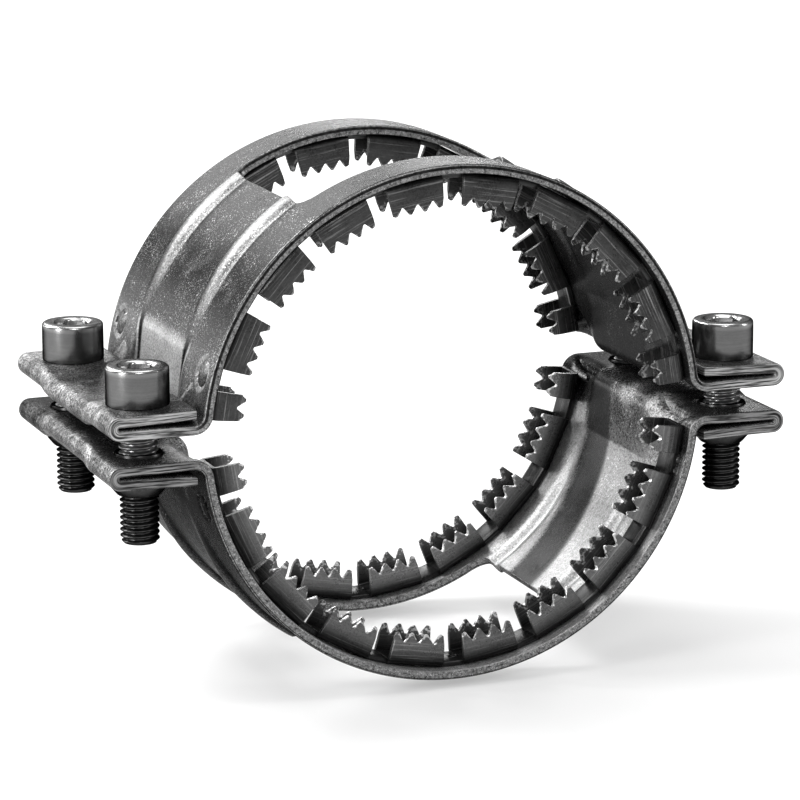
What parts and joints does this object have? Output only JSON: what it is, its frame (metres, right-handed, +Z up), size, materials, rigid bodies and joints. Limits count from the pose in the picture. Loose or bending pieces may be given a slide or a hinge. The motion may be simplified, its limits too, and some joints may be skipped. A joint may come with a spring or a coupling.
{
  "type": "pipe coupling claw",
  "caption": "Two-part steel claw with toothed inner strips that clamps round a pipe coupling and keeps the pipes from pulling out.",
  "frame": {"origin": "on the pipe axis, at mid width, in the joint plane between the two halves", "axes": "+Y along the pipe axis, +X across through the ears, +Z up towards the screw heads"},
  "size_m": [0.1816, 0.0852, 0.1324],
  "materials": {
    "shell_steel": "zinc plated, glossy, lightly scuffed",
    "grip_steel": "zinc plated, matt, cut edges bright",
    "screw_steel": "bright zinc plated",
    "nut_steel": "dark plated"
  },
  "bodies": {
    "lower_half": {"lower_shell": "shell_steel", "lower_front_grip": "grip_steel", "lower_rear_grip": "grip_steel", "nut_front_left": "nut_steel", "nut_front_right": "nut_steel", "nut_rear_left": "nut_steel", "nut_rear_right": "nut_steel"},
    "upper_half": {"upper_shell": "shell_steel", "upper_front_grip": "grip_steel", "upper_rear_grip": "grip_steel"},
    "screw_front_left": {"screw_front_left": "screw_steel"},
    "screw_front_right": {"screw_front_right": "screw_steel"},
    "screw_rear_left": {"screw_rear_left": "screw_steel"},
    "screw_rear_right": {"screw_rear_right": "screw_steel"}
  },
  "joints": [
    {"name": "clamp_slide", "type": "slide", "parent": "lower_half", "child": "upper_half", "axis": [0, 0, 1], "range_m": [-0.0035, 0.012]},
    {"name": "screw_front_left_turn", "type": "hinge", "parent": "upper_half", "child": "screw_front_left", "pos_m": [-0.0793, -0.0291, 0.0092], "axis": [0, 0, 1], "range_deg": [-842, 2882]},
    {"name": "screw_front_right_turn", "type": "hinge", "parent": "upper_half", "child": "screw_front_right", "pos_m": [0.0793, -0.0291, 0.0092], "axis": [0, 0, 1], "range_deg": [-842, 2882]},
    {"name": "screw_rear_left_turn", "type": "hinge", "parent": "upper_half", "child": "screw_rear_left", "pos_m": [-0.0793, 0.0291, 0.0092], "axis": [0, 0, 1], "range_deg": [-842, 2882]},
    {"name": "screw_rear_right_turn", "type": "hinge", "parent": "upper_half", "child": "screw_rear_right", "pos_m": [0.0793, 0.0291, 0.0092], "axis": [0, 0, 1], "range_deg": [-842, 2882]}
  ],
  "couplings": [
    {"joint": "screw_front_left_turn", "follows": "clamp_slide", "rad_per_m": 4188.8},
    {"joint": "screw_front_right_turn", "follows": "clamp_slide", "rad_per_m": 4188.8},
    {"joint": "screw_rear_left_turn", "follows": "clamp_slide", "rad_per_m": 4188.8},
    {"joint": "screw_rear_right_turn", "follows": "clamp_slide", "rad_per_m": 4188.8}
  ]
}
